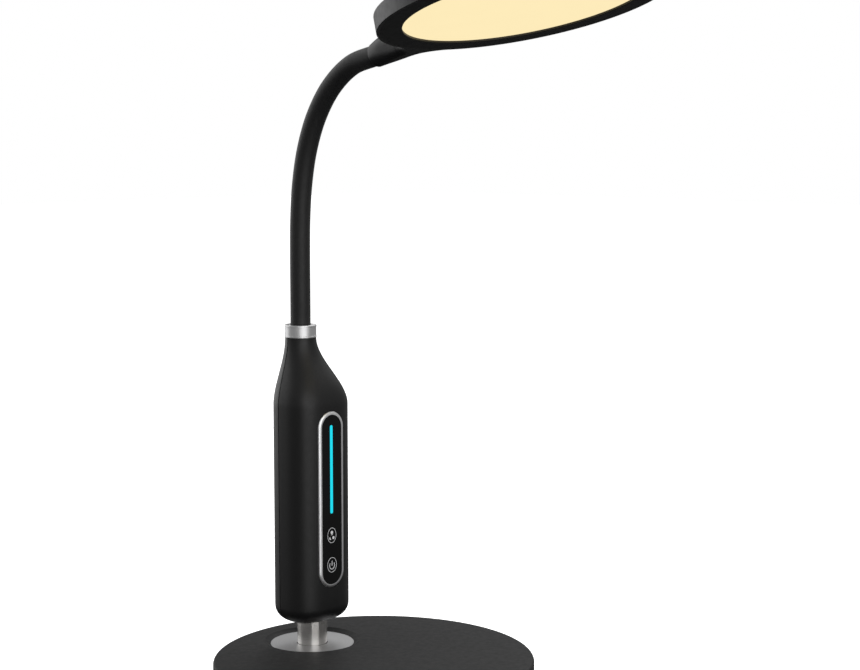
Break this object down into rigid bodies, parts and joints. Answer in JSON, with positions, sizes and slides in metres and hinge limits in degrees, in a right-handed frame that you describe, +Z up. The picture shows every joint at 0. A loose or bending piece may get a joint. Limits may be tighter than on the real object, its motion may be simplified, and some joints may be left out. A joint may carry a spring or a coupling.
{
  "type": "desk lamp",
  "caption": "Desk lamp with a round weighted base, a swivelling bottle-shaped touch handle, a bendable neck and a flat round light head.",
  "frame": {"origin": "centre of the base's underside, on the surface that the lamp stands on", "axes": "+Z up, -Y towards the front, where the head reaches out and the touch panel faces; +X to the right seen from the front"},
  "size_m": [0.18, 0.2752, 0.4024],
  "materials": {
    "base_plastic": "fine satin texture",
    "bottom_plastic": "plain",
    "weight_iron": "raw",
    "foot_rubber": "matte",
    "screw_steel": "plain",
    "fixing_steel": "plated",
    "dish_metal": "satin",
    "post_chrome": "polished",
    "jack_plastic": "moulded",
    "lead_cover": "smooth",
    "front_plastic": "soft satin",
    "rear_plastic": "soft satin",
    "bush_plastic": "smooth",
    "rim_chrome": "polished",
    "lens_gloss": "high gloss",
    "bar_glow": "lit",
    "led_plastic": "lit",
    "pad_copper": "plain",
    "board_green": "solder mask",
    "collar_metal": "fine turned",
    "ferrule_brass": "turned",
    "neck_rubber": "soft matte",
    "core_steel": "wound",
    "head_plastic": "fine satin",
    "bezel_plastic": "fine satin",
    "diffuser_plastic": "lit, frosted",
    "guide_acrylic": "clear",
    "reflector_film": "white film",
    "strip_board": "plain",
    "back_metal": "plain"
  },
  "bodies": {
    "base": {"base_cover": "base_plastic", "bottom_plate": "bottom_plastic", "base_weight": "weight_iron", "foot_pad": "foot_rubber", "base_screws": "screw_steel", "dish_plate": "dish_metal", "post": "post_chrome", "post_washer": "fixing_steel", "post_nut": "fixing_steel", "swivel_washer": "fixing_steel", "swivel_clip": "fixing_steel", "power_jack": "jack_plastic", "base_lead": "lead_cover"},
    "handle": {"front_shell": "front_plastic", "rear_shell": "rear_plastic", "shell_screws": "screw_steel", "swivel_bush": "bush_plastic", "panel_rim": "rim_chrome", "touch_lens": "lens_gloss", "light_bar": "bar_glow", "bar_leds": "led_plastic", "touch_pads": "pad_copper", "control_board": "board_green", "board_screws": "screw_steel", "collar": "collar_metal", "neck_ferrule": "ferrule_brass", "ferrule_nut": "fixing_steel", "neck_sleeve_1": "neck_rubber", "neck_core_1": "core_steel"},
    "neck_link_2": {"neck_sleeve_2": "neck_rubber", "neck_core_2": "core_steel"},
    "neck_link_3": {"neck_sleeve_3": "neck_rubber", "neck_core_3": "core_steel"},
    "neck_link_4": {"neck_sleeve_4": "neck_rubber", "neck_core_4": "core_steel"},
    "neck_link_5": {"neck_sleeve_5": "neck_rubber", "neck_core_5": "core_steel"},
    "neck_link_6": {"neck_sleeve_6": "neck_rubber", "neck_core_6": "core_steel"},
    "neck_link_7": {"neck_sleeve_7": "neck_rubber", "neck_core_7": "core_steel"},
    "neck_link_8": {"neck_sleeve_8": "neck_rubber", "neck_core_8": "core_steel"},
    "head": {"neck_sleeve_9": "neck_rubber", "neck_core_9": "core_steel", "head_housing": "head_plastic", "head_bezel": "bezel_plastic", "diffuser": "diffuser_plastic", "light_guide": "guide_acrylic", "reflector": "reflector_film", "light_strip": "strip_board", "back_plate": "back_metal", "head_screws": "screw_steel", "upper_ferrule": "ferrule_brass", "set_screw": "screw_steel", "head_lead": "lead_cover"}
  },
  "joints": [
    {"name": "swivel", "type": "hinge", "parent": "base", "child": "handle", "pos_m": [0, 0.052, 0.05], "axis": [0, 0, 1], "range_deg": [-90, 90]},
    {"name": "neck_bend_1", "type": "hinge", "parent": "handle", "child": "neck_link_2", "pos_m": [0, 0.0602, 0.22359], "axis": [1, 0, 0], "range_deg": [-12.5, 12.5]},
    {"name": "neck_sway_1", "type": "hinge", "parent": "neck_link_2", "child": "neck_link_3", "pos_m": [0, 0.06019, 0.24378], "axis": [0, 0.9999, 0.0116], "range_deg": [-11, 11]},
    {"name": "neck_bend_2", "type": "hinge", "parent": "neck_link_3", "child": "neck_link_4", "pos_m": [0, 0.05973, 0.26396], "axis": [1, 0, 0], "range_deg": [-12.5, 12.5]},
    {"name": "neck_sway_2", "type": "hinge", "parent": "neck_link_4", "child": "neck_link_5", "pos_m": [0, 0.05784, 0.28406], "axis": [0, 0.9873, 0.1586], "range_deg": [-11, 11]},
    {"name": "neck_bend_3", "type": "hinge", "parent": "neck_link_5", "child": "neck_link_6", "pos_m": [0, 0.05334, 0.30374], "axis": [1, 0, 0], "range_deg": [-12.5, 12.5]},
    {"name": "neck_sway_3", "type": "hinge", "parent": "neck_link_6", "child": "neck_link_7", "pos_m": [0, 0.04523, 0.32223], "axis": [0, 0.8589, 0.5122], "range_deg": [-11, 11]},
    {"name": "neck_bend_4", "type": "hinge", "parent": "neck_link_7", "child": "neck_link_8", "pos_m": [0, 0.03282, 0.33816], "axis": [1, 0, 0], "range_deg": [-12.5, 12.5]},
    {"name": "neck_sway_4", "type": "hinge", "parent": "neck_link_8", "child": "head", "pos_m": [0, 0.01618, 0.34959], "axis": [0, 0.4123, 0.911], "range_deg": [-11, 11]}
  ]
}
